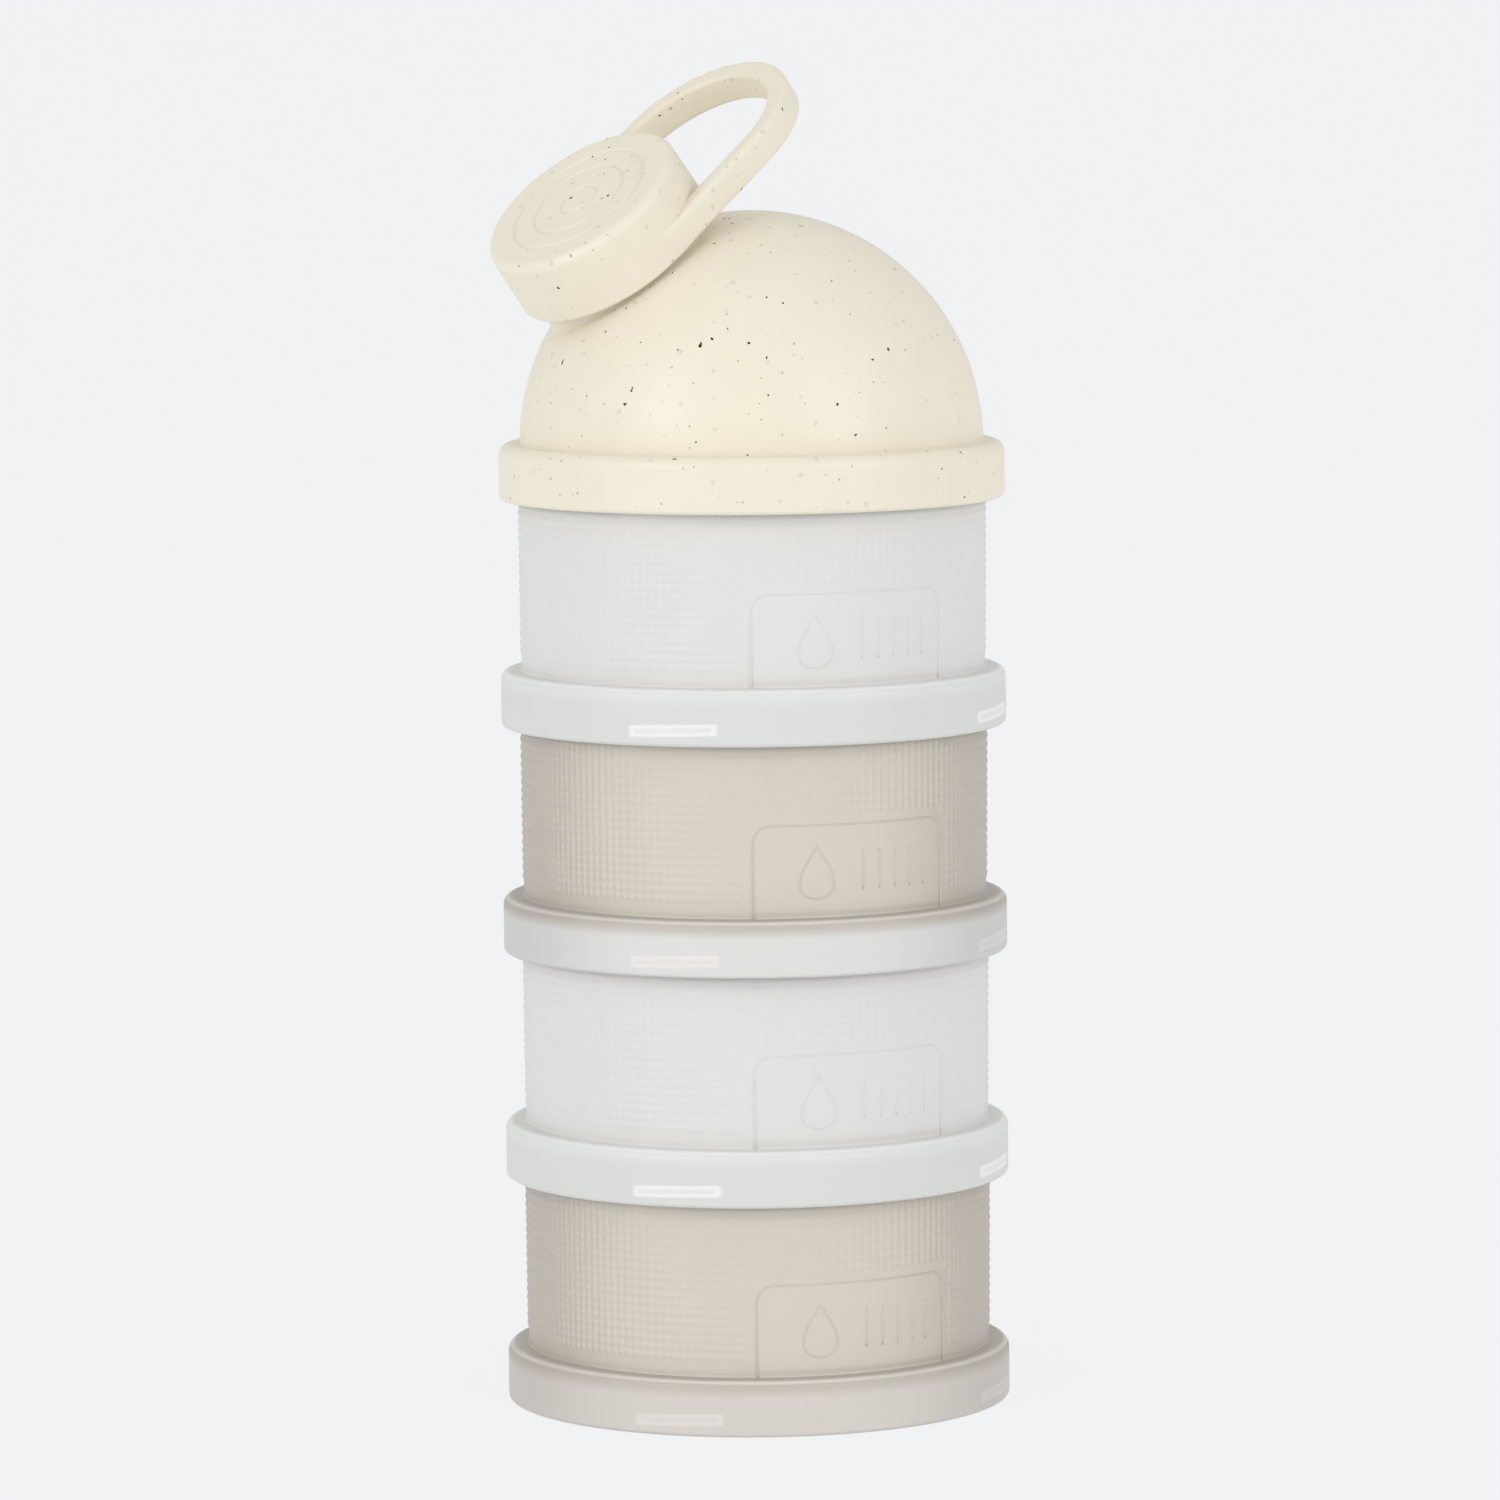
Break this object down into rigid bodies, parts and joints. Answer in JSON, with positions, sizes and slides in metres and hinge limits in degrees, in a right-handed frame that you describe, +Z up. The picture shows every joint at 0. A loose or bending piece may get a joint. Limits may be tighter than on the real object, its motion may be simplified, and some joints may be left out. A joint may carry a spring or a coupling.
{
  "type": "formula dispenser",
  "caption": "Stacking formula dispenser: round twist-together powder cups under a pouring dome, with a slanted spout closed by a snap cap that has a carrying loop.",
  "frame": {"origin": "on the stack's axis, in the plane of the bottom cup's rim, which the dispenser stands on", "axes": "+Z up along the stack; -Y to the front, where the cups' plain panels are; +X to the right; the spout leans towards -X and -Y"},
  "size_m": [0.0888, 0.088, 0.2333],
  "materials": {
    "clear_plastic": "frosted, translucent",
    "taupe_plastic": "frosted, translucent",
    "speckled_plastic": "satin cream with fine dark specks",
    "silicone": "soft matt"
  },
  "bodies": {
    "powder_cup_1": {"powder_cup_1": "taupe_plastic", "cup_seal_1": "silicone"},
    "cup_seal_2": {"cup_seal_2": "silicone"},
    "powder_cup_2": {"powder_cup_2": "clear_plastic"},
    "cup_seal_3": {"cup_seal_3": "silicone"},
    "powder_cup_3": {"powder_cup_3": "taupe_plastic"},
    "cup_seal_4": {"cup_seal_4": "silicone"},
    "powder_cup_4": {"powder_cup_4": "clear_plastic"},
    "dome_seal": {"dome_seal": "silicone"},
    "pouring_dome": {"pouring_dome": "speckled_plastic"},
    "cap_liner": {"cap_liner": "silicone"},
    "spout_cap": {"spout_cap": "speckled_plastic"}
  },
  "joints": [
    {"name": "cup_2_lift", "type": "slide", "parent": "powder_cup_1", "child": "cup_seal_2", "axis": [0, 0, 1], "range_m": [0, 0.008]},
    {"name": "cup_2_twist", "type": "hinge", "parent": "cup_seal_2", "child": "powder_cup_2", "pos_m": [0, 0, 0.0395], "axis": [0, 0, 1], "range_deg": [0, 120]},
    {"name": "cup_3_lift", "type": "slide", "parent": "powder_cup_2", "child": "cup_seal_3", "axis": [0, 0, 1], "range_m": [0, 0.008]},
    {"name": "cup_3_twist", "type": "hinge", "parent": "cup_seal_3", "child": "powder_cup_3", "pos_m": [0, 0, 0.079], "axis": [0, 0, 1], "range_deg": [0, 120]},
    {"name": "cup_4_lift", "type": "slide", "parent": "powder_cup_3", "child": "cup_seal_4", "axis": [0, 0, 1], "range_m": [0, 0.008]},
    {"name": "cup_4_twist", "type": "hinge", "parent": "cup_seal_4", "child": "powder_cup_4", "pos_m": [0, 0, 0.1185], "axis": [0, 0, 1], "range_deg": [0, 120]},
    {"name": "dome_lift", "type": "slide", "parent": "powder_cup_4", "child": "dome_seal", "axis": [0, 0, 1], "range_m": [0, 0.008]},
    {"name": "dome_twist", "type": "hinge", "parent": "dome_seal", "child": "pouring_dome", "pos_m": [0, 0, 0.158], "axis": [0, 0, 1], "range_deg": [0, 120]},
    {"name": "cap_pull", "type": "slide", "parent": "pouring_dome", "child": "cap_liner", "axis": [-0.4894, -0.402, 0.7738], "range_m": [0, 0.016]},
    {"name": "cap_turn", "type": "hinge", "parent": "cap_liner", "child": "spout_cap", "pos_m": [-0.0234, -0.0077, 0.2011], "axis": [-0.4894, -0.402, 0.7738], "continuous": true}
  ],
  "couplings": [
    {"joint": "cup_2_lift", "follows": "cup_2_twist", "m_per_rad": 0.0038197},
    {"joint": "cup_3_lift", "follows": "cup_3_twist", "m_per_rad": 0.0038197},
    {"joint": "cup_4_lift", "follows": "cup_4_twist", "m_per_rad": 0.0038197},
    {"joint": "dome_lift", "follows": "dome_twist", "m_per_rad": 0.0038197}
  ]
}
